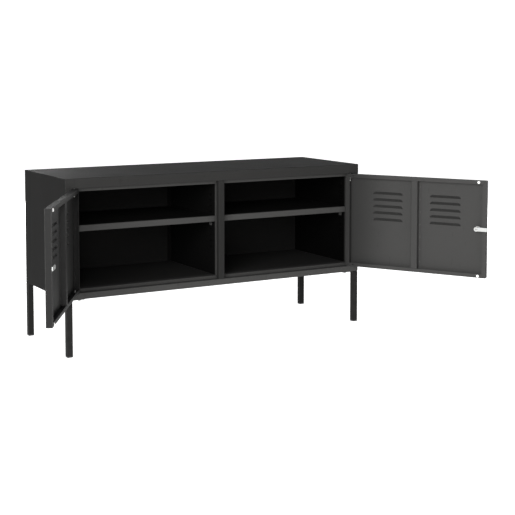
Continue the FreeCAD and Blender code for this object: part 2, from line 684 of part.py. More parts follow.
def make_left_door_bumpers():
    """White buffers pushed into the lip holes beside the free edge."""
    bumpers = []
    for x, z in lip_hole_places():
        if x > DOOR_CENTRE:
            head = rod(BUMPER_RADIUS, (x, DOOR_REAR, z), (x, DOOR_REAR + BUMPER_HEIGHT, z))
            rim = [edge for edge in head.Edges if edge.BoundBox.YMin > DOOR_REAR + BUMPER_HEIGHT / 2]
            head = head.makeFillet(BUMPER_RIM, rim)
            stem = rod(LIP_HOLE_RADIUS - 0.1, (x, DOOR_REAR - BUMPER_STEM, z), (x, DOOR_REAR, z))
            bumpers.append(fused([head, stem]))
    return group(bumpers)


# ---- hinge pins ----------------------------------------------------------------------------
def chamfered_above(pin, height):
    """The pin with a chamfer round the end that lies above a height."""
    return pin.makeChamfer(PIN_CHAMFER, [edge for edge in pin.Edges if edge.BoundBox.ZMin > height])


def make_left_upper_hinge_pin():
    """Sprung pin that runs through the top wall of the door into the fascia return."""
    pin = pivot_rod(PIN_RADIUS, BRACKET_TOP - PIN_TAIL, FASCIA_BOTTOM + PIN_ENTRY)
    collar = pivot_rod(PIN_RADIUS + 1.0, SPRING_TOP, SPRING_TOP + 1)
    return fused([chamfered_above(pin, FASCIA_BOTTOM), collar])


def make_left_hinge_spring():
    """Coil spring between the bracket and the collar of the pin."""
    coil_radius = PIN_RADIUS + SPRING_WIRE_RADIUS + 0.2
    seat = SPRING_WIRE_RADIUS + 0.05
    height = SPRING_TOP - seat - (BRACKET_TOP + seat)
    pitch = height / SPRING_TURNS
    helix = Part.makeHelix(pitch, height, coil_radius)
    rise = pitch / (2 * math.pi * coil_radius)
    circle = Part.Circle(Vector(coil_radius, 0, 0), Vector(0, 1, rise), SPRING_WIRE_RADIUS)
    section = Part.Wire([circle.toShape()])
    spring = Part.Wire(helix).makePipeShell([section], True, True)
    spring.translate(Vector(PIVOT.x, PIVOT.y, BRACKET_TOP + seat))
    return spring


def make_left_hinge_bracket():
    """Small angle on the hinge wall that guides the lower end of the sprung pin."""
    wall = DOOR_HINGE_EDGE + SHEET
    section = [(PIVOT.x + BRACKET_REACH, BRACKET_TOP), (wall, BRACKET_TOP),
               (wall, BRACKET_TOP - BRACKET_LEG)]
    y_low = FRONT + SHEET + INNER_BEND + SEAM_GAP
    bracket = folded_sheet(section, lambda p: Vector(p[0], y_low, p[1]),
                           Vector(0, BRACKET_WIDTH, 0))
    return bracket.cut(pivot_rod(PIN_RADIUS + FASTENER_FIT, BRACKET_TOP - 3, BRACKET_TOP + 1))


def make_left_lower_hinge_pin():
    """Stud riveted to the ledge, with a collar that carries the door."""
    stud_top = DOOR_BOTTOM + STUD_ENTRY
    stud = pivot_rod(PIN_RADIUS, RAIL_TOP - SHEET, stud_top)
    collar = pivot_rod(PIN_RADIUS + 1.8, RAIL_TOP, RAIL_TOP + STUD_COLLAR)
    rivet = pivot_rod(PIN_RADIUS + 0.5, RAIL_TOP - 2 * SHEET, RAIL_TOP - SHEET)
    return fused([chamfered_above(stud, stud_top - 1), collar, rivet])


# ---- latch ---------------------------------------------------------------------------------
def latch_rod(radius, y_low, y_high):
    return rod(radius, (LATCH_X, y_low, DOOR_MIDDLE), (LATCH_X, y_high, DOOR_MIDDLE))


def latch_nut(across_flats, start, height, bore_radius):
    nut = hexagon_prism(across_flats, (LATCH_X, start, DOOR_MIDDLE),
                        (LATCH_X, start + height, DOOR_MIDDLE))
    return nut.cut(latch_rod(bore_radius, start - 1, start + height + 1))


def make_left_latch_barrel():
    """Fixed sleeve through the door skin, with a thin flange outside."""
    flange = latch_rod(BARREL_RADIUS + BARREL_BRIM, FRONT - BARREL_FLANGE, FRONT)
    rim = [edge for edge in flange.Edges if edge.BoundBox.YMax < FRONT - BARREL_FLANGE / 2]
    flange = flange.makeFillet(BARREL_FLANGE / 2, rim)
    body = latch_rod(BARREL_RADIUS, FRONT, DOOR_REAR)
    bore = latch_rod(PLUG_RADIUS + PIN_CLEARANCE, FRONT - BARREL_FLANGE - 1, DOOR_REAR + 1)
    return fused([flange, body]).cut(bore)


def make_left_latch_ring_nut():
    """Hexagon nut that clamps the sleeve to the door skin."""
    return latch_nut(RING_NUT_WIDTH, FRONT + SHEET, RING_NUT_HEIGHT, BARREL_RADIUS + FASTENER_FIT)


def make_left_latch_plug():
    """Round plug that turns in the sleeve, nearly flush outside, with a coin slot."""
    outer = FRONT - BARREL_FLANGE + PLUG_SUNK
    plug = latch_rod(PLUG_RADIUS, outer, DOOR_REAR + TONGUE_GAP)
    tongue_end = DOOR_REAR + TONGUE_GAP + TONGUE_THICKNESS
    stud = latch_rod(STUD_RADIUS, DOOR_REAR, tongue_end + TONGUE_NUT_HEIGHT + STUD_TIP)
    slot = box((LATCH_X - COIN_SLOT_WIDTH / 2, outer - 1, DOOR_MIDDLE - PLUG_RADIUS - 1),
               (LATCH_X + COIN_SLOT_WIDTH / 2, outer + COIN_SLOT_DEPTH, DOOR_MIDDLE + PLUG_RADIUS + 1))
    return fused([plug, stud]).cut(slot)


def make_left_latch_tongue():
    """Flat tongue that reaches behind the centre post when the latch is locked."""
    y_low = DOOR_REAR + TONGUE_GAP
    y_high = y_low + TONGUE_THICKNESS
    half = TONGUE_WIDTH / 2
    hub = latch_rod(TONGUE_HUB_RADIUS, y_low, y_high)
    arm = box((LATCH_X, y_low, DOOR_MIDDLE - half),
              (LATCH_X + LATCH_REACH, y_high, DOOR_MIDDLE + half))
    tip = [edge for edge in arm.Edges
           if edge.BoundBox.XMin > LATCH_X + 1 and edge.BoundBox.YLength > 1]
    arm = arm.makeFillet(TONGUE_CORNER, tip)
    return fused([hub, arm]).cut(latch_rod(STUD_RADIUS + FASTENER_FIT, y_low - 1, y_high + 1))


def make_left_latch_nut():
    """Nut that holds the tongue on the plug."""
    start = DOOR_REAR + TONGUE_GAP + TONGUE_THICKNESS
    return latch_nut(TONGUE_NUT_WIDTH, start, TONGUE_NUT_HEIGHT, STUD_RADIUS + FASTENER_FIT)


# ---- output --------------------------------------------------------------------------------
def swung_open(shape):
    """Turn a piece of the closed left door to the open position."""
    turned = shape.copy()
    turned.rotate(PIVOT, Vector(0, 0, 1), -DOOR_OPEN_ANGLE)
    return turned


def save(name, shape):
    if not shape.isValid():
        raise ValueError(name + " is not a valid shape")
    shape.exportStep("parts/" + name + ".step")
    print("%-26s solids %2d  volume %10.1f" % (name, len(shape.Solids), shape.Volume))


def save_pair(name, shape):
    """Save a piece of the left side and its mirror image."""
    save("left_" + name, shape)
    save("right_" + name, mirrored(shape))


def main():
    os.makedirs("parts", exist_ok=True)
    corners = {"front_left": (LEFT, FRONT), "front_right": (RIGHT, FRONT),
               "rear_left": (LEFT, BACK), "rear_right": (RIGHT, BACK)}
    divider_skin = make_divider_left_skin()

    save("top_panel", make_top_panel())
    save("top_stop_rail", make_top_stop_rail())
    save("bottom_panel", make_bottom_panel())
    save("back_panel", make_back_panel())
    save("back_screws", make_back_screws())
    save("centre_post", make_centre_post())
    save("divider_left_skin", divider_skin)
    save("divider_right_skin", mirrored(divider_skin))
    save_pair("side_panel", make_left_side_panel())
    save_pair("side_liner", make_left_side_liner())
    save_pair("shelf", make_left_shelf())
    save_pair("shelf_clips", make_left_shelf_clips())
    save_pair("lower_hinge_pin", make_left_lower_hinge_pin())
    for name, corner in corners.items():
        save(name + "_leg", make_leg(*corner))
        save(name + "_leg_plate", make_leg_plate(*corner))
        save(name + "_foot_cap", make_foot_cap(*corner))
    save("leg_screws", make_leg_screws(corners.values()))
    save("leg_nuts", make_leg_nuts(corners.values()))

    door_pieces = {"door_panel": make_left_door_panel, "door_stiffener": make_left_door_stiffener,
                   "door_bumpers": make_left_door_bumpers,
                   "upper_hinge_pin": make_left_upper_hinge_pin,
                   "hinge_spring": make_left_hinge_spring,
                   "hinge_bracket": make_left_hinge_bracket,
                   "latch_barrel": make_left_latch_barrel,
                   "latch_ring_nut": make_left_latch_ring_nut,
                   "latch_plug": make_left_latch_plug, "latch_tongue": make_left_latch_tongue,
                   "latch_nut": make_left_latch_nut}
    for name, make in door_pieces.items():
        save_pair(name, swung_open(make()))


main()
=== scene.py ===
"""Looks for a low two-door locker sideboard: folded steel sheet in anthracite powder coat.

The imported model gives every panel, leg, hinge and latch. This script gives each of them its
finish, and makes the screws, springs, spot welds and weld beads that repeat.
All lengths are in metres and all angles in degrees unless a name says otherwise.
"""
import json
import math

import bpy
from mathutils import Matrix, Vector


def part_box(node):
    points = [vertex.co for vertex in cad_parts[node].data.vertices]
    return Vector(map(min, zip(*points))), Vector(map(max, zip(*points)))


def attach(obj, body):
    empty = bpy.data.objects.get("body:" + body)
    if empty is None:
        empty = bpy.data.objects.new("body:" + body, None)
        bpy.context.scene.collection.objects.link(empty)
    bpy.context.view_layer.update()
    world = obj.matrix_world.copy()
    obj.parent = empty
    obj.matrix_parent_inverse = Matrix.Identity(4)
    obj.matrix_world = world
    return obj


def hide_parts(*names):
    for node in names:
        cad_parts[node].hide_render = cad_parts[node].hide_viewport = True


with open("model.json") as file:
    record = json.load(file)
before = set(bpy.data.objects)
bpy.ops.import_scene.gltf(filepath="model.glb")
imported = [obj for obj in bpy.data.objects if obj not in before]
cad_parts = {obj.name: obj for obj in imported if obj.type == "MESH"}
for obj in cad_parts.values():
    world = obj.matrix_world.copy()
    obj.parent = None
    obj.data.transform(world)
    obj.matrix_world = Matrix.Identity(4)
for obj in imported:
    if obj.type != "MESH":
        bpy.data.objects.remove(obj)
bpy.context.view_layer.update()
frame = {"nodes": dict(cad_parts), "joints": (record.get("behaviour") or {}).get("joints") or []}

# ---- sizes of the case and the doors ---------------------------------------------------------
MM = 0.001
CASE_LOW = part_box("left_side_panel")[0]
CASE_HIGH = Vector((-CASE_LOW.x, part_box("left_side_panel")[1].y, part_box("top_panel")[1].z))
SHEET = 1.0 * MM
DOOR_WIDTH = 482.25 * MM
DOOR_THICKNESS = 18.0 * MM
DOOR_OPEN_ANGLE = 120.0
PIVOT_FROM_EDGE = 7.0 * MM
PIVOT_FROM_FACE = 5.0 * MM
STIFFENER_WIDTH = 21.0 * MM
STIFFENER_FOOT = 8.0 * MM
LEG_WIDTH = 18.0 * MM
REAR_FLANGE = 12.0 * MM
SIDES = {"left": -1, "right": 1}

# ---- sizes of what repeats -------------------------------------------------------------------
SPRING_TURNS = 7.0
SPRING_WIRE_RADIUS = 0.35 * MM
SPRING_COIL_RADIUS = 3.05 * MM
WELD_RADIUS = 2.4 * MM
DOOR_WELD_COUNT = 7
BEAD_RADIUS = 1.1 * MM
BACK_SCREW_HEAD_RADIUS = 3.6 * MM
LEG_SCREW_HEAD_RADIUS = 4.6 * MM
SCREW_SEED = 7
BACK_ROW_MARGIN = 60.0 * MM
BACK_SIDE_HEIGHTS = (230.0 * MM, 348.0 * MM, 466.0 * MM)
LEG_SCREW_NEAR = 12.0 * MM
LEG_SCREW_FAR = 44.0 * MM
LEG_PLATE = 1.5 * MM
BEAD_START = 3.0 * MM
BEAD_SUNK = 0.3

# ---- shades of the coat, and painted shade that multiplies them on part of a piece -----------
COAT_GLOSS = 0.10
DULL_GLOSS = 0.03
# One anthracite coat: each surface gets its own shade only as painted light and shade for the studio
# lights.
TOP_SHADE = 0.0175
# Painted shade: the top's upper face is darker than its folds.
TOP_FACE_PAINTED_SHADE = 0.50
SIDE_SHADE = 0.0175
# Painted shade: the left side's outer face, lit by the key, is painted darker.
SIDE_FACE_PAINTED_SHADE = 0.39
FRONT_SHADE = 0.034
POST_SHADE = 0.0135
LEG_SHADE = 0.0095
DOOR_SHADE = 0.031
# Painted shade on the doors: the left inner face away from the key, the hinge ends, the louvre hoods
# and the free edge.
DOOR_INNER_PAINTED_SHADES = {"left": 0.62, "right": 1.0}
DOOR_HINGE_PAINTED_SHADE = 0.50
DOOR_HINGE_REACH = 0.35
LOUVRE_PAINTED_SHADE = 0.60
FREE_EDGE_PAINTED_SHADE = 0.50
# Painted shade inside the case, darker deeper in. Lining pieces: the node whose front starts the
# fade, how far it reaches, the tone past it.
LIT_LIP = 2.5 * MM
LINING_PAINTED_SHADE = {"floor": ("bottom_panel", 62.0 * MM, 0.37), "shelf": ("left_shelf", 12.0 * MM, 0.11),
          "liner": ("left_side_liner", 20.0 * MM, 0.03), "back": ("top_stop_rail", 30.0 * MM, 0.19),
          "divider": ("divider_left_skin", 12.0 * MM, 0.07)}

# ---- studio ----------------------------------------------------------------------------------
PAPER_GLOW = 0.88
FLOOR_RADIUS = 9.0
FLOOR_WALL = 3.0
FLOOR_TURNS = 96
FLOOR_STEPS = 12
ROOM_LIGHT = 0.15
# Softboxes: where each stands, what it points at, its two sides and its power in watts.
SOFTBOXES = {
    "key_softbox": ((-2.6, -3.0, 1.5), (0.3, -0.3, 0.30), (2.4, 2.0), 230.0),
    "right_fill_softbox": ((3.6, 1.0, 0.8), (0.0, 0.0, 0.30), (1.8, 1.4), 100.0),
    "rear_fill_softbox": ((0.1, 3.7, 0.7), (0.0, 0.0, 0.30), (1.4, 1.2), 80.0),
    "overhead_softbox": ((0.0, 0.0, 4.2), (0.0, 0.0, 0.0), (5.0, 5.0), 40.0),
}
CAMERA_PLACE = (-1.8023, -3.5213, 0.8748)
CAMERA_PITCH = 4.443
CAMERA_YAW = -29.997
CAMERA_LENS = 85.70
CAMERA_SHIFT = -0.20


# ---- node trees written as Python ------------------------------------------------------------
class Value:
    """A socket that arithmetic works on; each step adds one Math node to its tree."""

    def __init__(self, graph, socket):
        self.graph = graph
        self.socket = socket

    def maths(self, operation, *others):
        return self.graph.maths(operation, self, *others)

    def __add__(self, other):
        return self.maths("ADD", other)

    __radd__ = __add__

    def __sub__(self, other):
        return self.maths("SUBTRACT", other)

    def __rsub__(self, other):
        return self.graph.maths("SUBTRACT", other, self)

    def __mul__(self, other):
        return self.maths("MULTIPLY", other)

    __rmul__ = __mul__

    def __truediv__(self, other):
        return self.maths("DIVIDE", other)

    def __rtruediv__(self, other):
        return self.graph.maths("DIVIDE", other, self)

    def __pow__(self, other):
        return self.maths("POWER", other)

    def __abs__(self):
        return self.maths("ABSOLUTE")

    def smaller(self, other):
        return self.maths("MINIMUM", other)

    def larger(self, other):
        return self.maths("MAXIMUM", other)

    def above(self, other):
        return self.maths("GREATER_THAN", other)

    def sine(self):
        return self.maths("SINE")

    def root(self):
        return self.maths("SQRT")


class Graph:
    """Adds nodes to one material's or one geometry tree."""

    def __init__(self, tree):
        self.tree = tree

    def node(self, kind, settings=None, inputs=None, output=0):
        """Add a node, set its options, fill its sockets and hand back one of its outputs."""
        made = self.tree.nodes.new(kind)
        for name, value in (settings or {}).items():
            if name == "stops":
                self.set_stops(made.color_ramp, value)
            else:
                setattr(made, name, value)
        for name, value in (inputs or {}).items():
            self.fill(made.inputs[name], value)
        return Value(self, made.outputs[output]) if len(made.outputs) else None

    def fill(self, socket, value):
        for one in value if isinstance(value, list) else [value]:
            if isinstance(one, Value):
                self.tree.links.new(one.socket, socket)
            else:
                socket.default_value = one

    def set_stops(self, ramp, stops):
        while len(ramp.elements) < len(stops):
            ramp.elements.new(1.0)
        for element, (position, shade) in zip(ramp.elements, stops):
            element.position = position
            element.color = (shade, shade, shade, 1.0)

    def maths(self, operation, *values):
        return self.node("ShaderNodeMath", {"operation": operation}, dict(enumerate(values)))

    def other(self, value, output):
        """Another output of the node that a value comes from."""
        return Value(self, value.socket.node.outputs[output])

    def parts(self, vector):
        """The x, y and z of a vector."""
        x = self.node("ShaderNodeSeparateXYZ", inputs={0: vector})
        return x, self.other(x, 1), self.other(x, 2)

    def vector(self, x, y, z):
        return self.node("ShaderNodeCombineXYZ", inputs={0: x, 1: y, 2: z})

    def fade(self, value, start, end):
        """1 at start, falling smoothly to 0 at end, or the other way round."""
        return self.node("ShaderNodeMapRange", {"interpolation_type": "SMOOTHSTEP"},
                         {"Value": value, "From Min": start, "From Max": end,
                          "To Min": 1.0, "To Max": 0.0})


# ---- finishes --------------------------------------------------------------------------------
class Finish(Graph):
    """One procedural material, built round a Principled shader."""

    def __init__(self, name):
        self.material = bpy.data.materials.new(name)
        self.material.use_nodes = True
        super().__init__(self.material.node_tree)
        self.tree.nodes.clear()
        self.place = self.node("ShaderNodeTexCoord", output="Object")

    def noise(self, size, detail=2.0, place=None):
        """Cloudy pattern from 0 to 1 whose blobs are about size across."""
        return self.node("ShaderNodeTexNoise", {"noise_dimensions": "3D"},
                         {"Vector": place or self.place, "Scale": 1.0 / size, "Detail": detail})

    def cells(self, size):
        """Distance from the middle of scattered grains about size across."""
        return self.node("ShaderNodeTexVoronoi", {"feature": "F1"},
                         {"Vector": self.place, "Scale": 1.0 / size})

    def stretched(self, x, y, z):
        """The place, scaled along each axis, for streaks and brush marks."""
        return self.node("ShaderNodeMapping", {"vector_type": "POINT"},
                         {"Vector": self.place, "Scale": (x, y, z)})

    def mixed(self, factor, first, second, blend="MIX"):
        """A colour from first at 0 to second at 1."""
        node = self.tree.nodes.new("ShaderNodeMix")
        node.data_type = "RGBA"
        node.blend_type = blend
        self.fill(node.inputs["Factor"], factor)
        for socket, value in ((node.inputs[6], first), (node.inputs[7], second)):
            self.fill(socket, value)
        return Value(self, node.outputs[2])

    def scaled(self, colour, amount):
        """A colour made darker by an amount from 0 to 1."""
        return self.mixed(1.0, colour, amount, "MULTIPLY")

    def bump(self, height):
        """Normal of a surface that stands height metres proud."""
        return self.node("ShaderNodeBump", inputs={"Strength": 1.0, "Distance": 1.0,
                                                   "Height": height})

    def surface(self, **inputs):
        """Finish with the Principled shader; words in socket names are joined by underscores."""
        named = {key.replace("_", " "): value for key, value in inputs.items()}
        shader = self.node("ShaderNodeBsdfPrincipled", inputs=named)
        self.node("ShaderNodeOutputMaterial", inputs={"Surface": shader})
        return self.material


def grey(level, warmth=0.0):
    """A colour near neutral grey; warmth takes a little off its blue."""
    return (level, level * (1.0 - 0.3 * warmth), level * (1.0 - warmth), 1.0)


def near_edge(finish, place, low, high, reach):
    """1 along the twelve edges of the box from low to high, 0 further than reach from them."""
    gaps = []
    for value, start, end in zip(finish.parts(place), low, high):
        gaps.append((value - start).smaller(end - value))
    first, second, third = gaps
    middle = first.smaller(second).larger(first.larger(second).smaller(third))
    return finish.fade(middle, 0.0, reach)


def coat_height(finish):
    """Relief of a fine-textured powder coat: grain, orange peel and the sheet's slow waves."""
    grain = finish.cells(0.9 * MM) * (14e-6)
    peel = finish.noise(3.2 * MM) * 16e-6
    waves = finish.noise(85.0 * MM, 1.0) * 60e-6
    return grain + peel + waves


def powder_coat(name, shade, place_of=None, low=CASE_LOW, high=CASE_HIGH, painted_shade_of=None,
                gloss=COAT_GLOSS):
    """Matt anthracite coat, lighter along the edges of the box low to high: partly worn thin, partly
    a painted highlight. A tone, if given, darkens part of it as painted shade.
    """
    finish = Finish(name)
    place = place_of(finish) if place_of else finish.place
    flecks = finish.fade(finish.cells(1.6 * MM), 0.16, 0.34)
    clouds = finish.noise(120.0 * MM, 3.0)
    scuffs = finish.fade(finish.noise(9.0 * MM, 4.0, finish.stretched(1.0, 1.0, 0.22)), 0.36, 0.27)
    # Lighter along the edges: partly coat worn thin, partly a painted highlight on the bent edges.
    edge = near_edge(finish, place, low, high, 2.6 * MM)
    patches = finish.fade(finish.noise(14.0 * MM, 3.0), 0.62, 0.38)
    wear_and_highlight = edge * (0.35 + 0.65 * patches)
    base = finish.mixed(clouds, grey(shade * 0.9, 0.02), grey(shade * 1.1, 0.05))
    flecked = finish.mixed(flecks * 0.22, base, grey(shade * 1.9, 0.04))
    colour = finish.mixed(scuffs * 0.10, flecked, grey(shade * 2.4, 0.04))
    # Painted shade: the tone darkens part of the piece in place of real shade.
    if painted_shade_of:
        colour = finish.scaled(colour, painted_shade_of(finish))
    worn_and_highlit = finish.mixed(wear_and_highlight * 0.30, colour, grey(shade * 2.6, 0.03))
    rough = 0.60 + 0.10 * clouds - 0.10 * wear_and_highlight + 0.08 * flecks
    return finish.surface(Base_Color=worn_and_highlit, Roughness=rough, Specular_IOR_Level=gloss,
                          Normal=finish.bump(coat_height(finish)))


def lining_painted_shade(front, reach, deep):
    """Painted shade on a lining piece, darker deeper in the case: 1 at its front and on the back's
    outer face, deep past reach.
    """
    def tone(finish):
        y = finish.parts(finish.place)[1]
        lit = finish.fade(y, front + LIT_LIP, front + reach)
        outside = y.above(CASE_HIGH.y - 1.5 * SHEET)
        return deep + (1.0 - deep) * lit.larger(outside)
    return tone


def closed_door_place(side):
    """Gives the place on a door as if it were shut, so that its edges line up with the axes."""
    def place(finish):
        pivot = pivot_point(side)
        centred = finish.node("ShaderNodeVectorMath", {"operation": "SUBTRACT"},
                              {0: finish.place, 1: pivot})
        angle = math.radians(DOOR_OPEN_ANGLE) * -SIDES[side]
        turned = finish.node("ShaderNodeVectorRotate", {"rotation_type": "Z_AXIS"},
                             {"Vector": centred, "Angle": angle})
        return finish.node("ShaderNodeVectorMath", {"operation": "ADD"}, {0: turned, 1: pivot})
    return place


def door_painted_shade(side):
    """Painted shade on a door: its inner face, hinge end, louvres and free edge are painted darker.
    """
    def tone(finish):
        low, high = door_box(side)
        hinge_x, free_x = (low.x, high.x) if side == "left" else (high.x, low.x)
        x, y, _ = finish.parts(closed_door_place(side)(finish))
        near_hinge = finish.fade(abs(x - hinge_x), 0.0, DOOR_HINGE_REACH * DOOR_WIDTH)
        inner = y.above(low.y + 0.5 * SHEET)
        pressed = 1.0 - y.above(low.y - 0.3 * SHEET)
        free_wall = abs(x - hinge_x).above(DOOR_WIDTH - 0.5 * SHEET)
        # Painted shade: each factor darkens its part of the door in place of real shade.
        within = 1.0 - (1.0 - DOOR_INNER_PAINTED_SHADES[side]) * inner
        hinge = 1.0 - (1.0 - DOOR_HINGE_PAINTED_SHADE) * near_hinge * inner
        louvres = 1.0 - (1.0 - LOUVRE_PAINTED_SHADE) * pressed
        edge = 1.0 - (1.0 - FREE_EDGE_PAINTED_SHADE) * free_wall
        return within * hinge * louvres * edge
    return tone


def side_painted_shade(finish):
    """Painted shade on a side: the left outer face, which meets the key light, is painted darker."""
    x = finish.parts(finish.place)[0]
    lit_face = 1.0 - x.above(CASE_LOW.x + 0.5 * SHEET)
    return 1.0 - (1.0 - SIDE_FACE_PAINTED_SHADE) * lit_face


def top_painted_shade(finish):
    """Painted shade on the top: its upper face is painted darker than the folds round it."""
    z = finish.parts(finish.place)[2]
    return 1.0 - (1.0 - TOP_FACE_PAINTED_SHADE) * z.above(CASE_HIGH.z - 0.5 * SHEET)


def pivot_point(side):
    """Where a door's hinge line crosses the floor."""
    anchor = next(joint["pos_m"] for joint in frame["joints"]
                  if joint["name"] == side + "_door_hinge")
    return Vector((anchor[0], anchor[1], 0.0))


def door_box(side):
    """Corners of a shut door."""
    pivot = pivot_point(side)
    inward = -SIDES[side]
    hinge_x = pivot.x - inward * PIVOT_FROM_EDGE
    free_x = hinge_x + inward * DOOR_WIDTH
    low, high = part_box(side + "_door_panel")
    return (Vector((min(hinge_x, free_x), pivot.y - PIVOT_FROM_FACE, low.z)),
            Vector((max(hinge_x, free_x), pivot.y - PIVOT_FROM_FACE + DOOR_THICKNESS, high.z)))


def zinc_finish():
    """Zinc plate with a faint blue and straw bloom, and the marks of rolling."""
    finish = Finish("zinc_plate")
    bloom = finish.noise(11.0 * MM, 2.0)
    marks = finish.noise(1.1 * MM, 2.0, finish.stretched(0.18, 0.18, 1.0))
    pits = finish.fade(finish.cells(1.3 * MM), 0.10, 0.22)
    colour = finish.mixed(bloom, (0.36, 0.38, 0.40, 1.0), (0.42, 0.41, 0.37, 1.0))
    dulled = finish.mixed(pits * 0.4, colour, grey(0.5))
    rough = 0.38 + 0.16 * marks + 0.12 * pits
    return finish.surface(Base_Color=dulled, Metallic=1.0, Roughness=rough,
                          Normal=finish.bump(marks * 8e-6))


def chrome_finish():
    """Satin chrome, dulled by handling, with fine turning marks."""
    finish = Finish("satin_chrome")
    marks = finish.noise(0.7 * MM, 2.0)
    smudges = finish.noise(9.0 * MM, 3.0)
    colour = finish.mixed(smudges, grey(0.20), grey(0.27))
    rough = 0.36 + 0.12 * marks + 0.06 * smudges
    return finish.surface(Base_Color=colour, Metallic=1.0, Roughness=rough,
                          Normal=finish.bump(marks * 5e-6))


def nylon_finish():
    """White moulded nylon, a little milky, with scattered dull specks."""
    finish = Finish("white_nylon")
    clouds = finish.noise(3.0 * MM, 3.0)
    specks = finish.fade(finish.cells(0.8 * MM), 0.08, 0.16)
    colour = finish.mixed(clouds, grey(0.60, 0.03), grey(0.70, 0.02))
    marked = finish.mixed(specks * 0.3, colour, grey(0.6, 0.08))
    return finish.surface(Base_Color=marked, Roughness=0.42 + 0.12 * clouds,
                          Normal=finish.bump(clouds * 20e-6))


def plastic_finish():
    """Black moulded plastic, spark-eroded grain, dusty towards the floor."""
    finish = Finish("black_plastic")
    height = finish.parts(finish.place)[2]
    grain = finish.cells(0.6 * MM)
    dust = finish.fade(height, 0.0, 3.5 * MM) * finish.fade(finish.noise(5.0 * MM, 3.0), 0.7, 0.3)
    colour = finish.mixed(dust * 0.35, grey(0.012), grey(0.12, 0.1))
    return finish.surface(Base_Color=colour, Roughness=0.55 + 0.3 * dust,
                          Normal=finish.bump(grain * 12e-6))


def steel_finish():
    """Zinc plated screws and springs, a darker grey than the latch zinc, with a cloudy bloom."""
    finish = Finish("plated_steel")
    bloom = finish.noise(4.0 * MM, 3.0)
    colour = finish.mixed(bloom, grey(0.24), grey(0.40, 0.04))
    return finish.surface(Base_Color=colour, Metallic=1.0, Roughness=0.32 + 0.2 * bloom,
                          Normal=finish.bump(finish.noise(0.6 * MM) * 6e-6))


# ---- geometry trees --------------------------------------------------------------------------
class Recipe(Graph):
    """A geometry tree with named sizes that turns a simple guide mesh into finished pieces."""

    def __init__(self, name, **sizes):
        tree = bpy.data.node_groups.new(name, "GeometryNodeTree")
        super().__init__(tree)
        tree.interface.new_socket("Guide", in_out="INPUT", socket_type="NodeSocketGeometry")
        for size, value in sizes.items():
            kind = "NodeSocketInt" if isinstance(value, int) else "NodeSocketFloat"
            socket = tree.interface.new_socket(size, in_out="INPUT", socket_type=kind)
            socket.default_value = value
        tree.interface.new_socket("Pieces", in_out="OUTPUT", socket_type="NodeSocketGeometry")
        self.guide = self.node("NodeGroupInput")

    def size(self, name):
        return self.other(self.guide, name)

    def box(self, x, y, z):
        return self.node("GeometryNodeMeshCube", inputs={"Size": self.vector(x, y, z)})

    def drum(self, radius, height, sides=24, rings=1, fans=1):
        """Closed drum that stands on z = 0."""
        made = self.node("GeometryNodeMeshCylinder", inputs={
            "Vertices": sides, "Side Segments": rings, "Fill Segments": fans,
            "Radius": radius, "Depth": height})
        return self.lifted(made, height * 0.5)

    def lifted(self, mesh, height):
        return self.node("GeometryNodeTransform",
                         inputs={"Geometry": mesh, "Translation": self.vector(0.0, 0.0, height)})

    def joined(self, *meshes):
        return self.node("GeometryNodeJoinGeometry", inputs={"Geometry": list(meshes)})

    def place(self):
        """The x, y and z of each point."""
        return self.parts(self.node("GeometryNodeInputPosition"))

    def shifted(self, mesh, offset):
        return self.node("GeometryNodeSetPosition", inputs={"Geometry": mesh, "Offset": offset})

    def stood_on_guide(self, piece, seed=None):
        """Copy a piece to every guide point, its z axis along that point's outward vector."""
        outward = self.node("GeometryNodeInputNamedAttribute", {"data_type": "FLOAT_VECTOR"},
                            {"Name": "outward"})
        turn = self.node("FunctionNodeAlignRotationToVector", {"axis": "Z"}, {"Vector": outward})
        if seed is not None:
            spin = self.node("FunctionNodeRandomValue", {"data_type": "FLOAT"},
                             {2: 0.0, 3: math.pi, "Seed": seed}, output=1)
            own = self.node("FunctionNodeAxisAngleToRotation",
                            inputs={"Axis": (0.0, 0.0, 1.0), "Angle": spin})
            turn = self.node("FunctionNodeRotateRotation", {"rotation_space": "LOCAL"},
                             {0: turn, 1: own})
        return self.node("GeometryNodeInstanceOnPoints",
                         inputs={"Points": self.guide, "Instance": piece, "Rotation": turn})

    def finish(self, pieces, material, smooth_below=38.0):
        """End the tree: real geometry, smooth where faces meet gently, one material."""
        real = self.node("GeometryNodeRealizeInstances", inputs={"Geometry": pieces})
        angle = self.node("GeometryNodeInputMeshEdgeAngle")
        gentle = self.below(angle, math.radians(smooth_below))
        faces = self.node("GeometryNodeSetShadeSmooth", {"domain": "FACE"}, {"Geometry": real})
        edges = self.node("GeometryNodeSetShadeSmooth", {"domain": "EDGE"},
                          {"Geometry": faces, "Shade Smooth": gentle})
        painted = self.node("GeometryNodeSetMaterial",
                            inputs={"Geometry": edges, "Material": material})
        self.node("NodeGroupOutput", inputs={0: painted})
        return self.tree

    def below(self, value, limit):
        return self.node("FunctionNodeCompare", {"data_type": "FLOAT", "operation": "LESS_THAN"},
                         {0: value, 1: limit})


